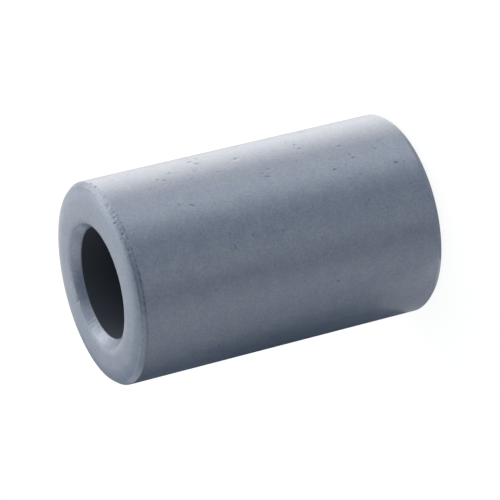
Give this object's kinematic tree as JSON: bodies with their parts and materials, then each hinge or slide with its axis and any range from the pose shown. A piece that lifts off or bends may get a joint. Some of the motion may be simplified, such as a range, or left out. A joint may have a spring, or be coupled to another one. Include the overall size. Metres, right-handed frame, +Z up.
{
  "type": "cylindrical ferrite core",
  "caption": "Plain round ferrite sleeve with crowned, bevelled ends and a straight through bore, slid over a cable to damp high-frequency noise.",
  "frame": {"origin": "centre of the end that the sleeve stands on", "axes": "+Z up the bore's axis, towards the end that faces the viewer in the picture; -Y is the side that faces the viewer"},
  "size_m": [0.0175, 0.0174, 0.0285],
  "materials": {
    "ferrite": "satin blue-grey, pressed and sintered, unpainted"
  },
  "bodies": {
    "root": {"ferrite_core": "ferrite"}
  },
  "joints": []
}
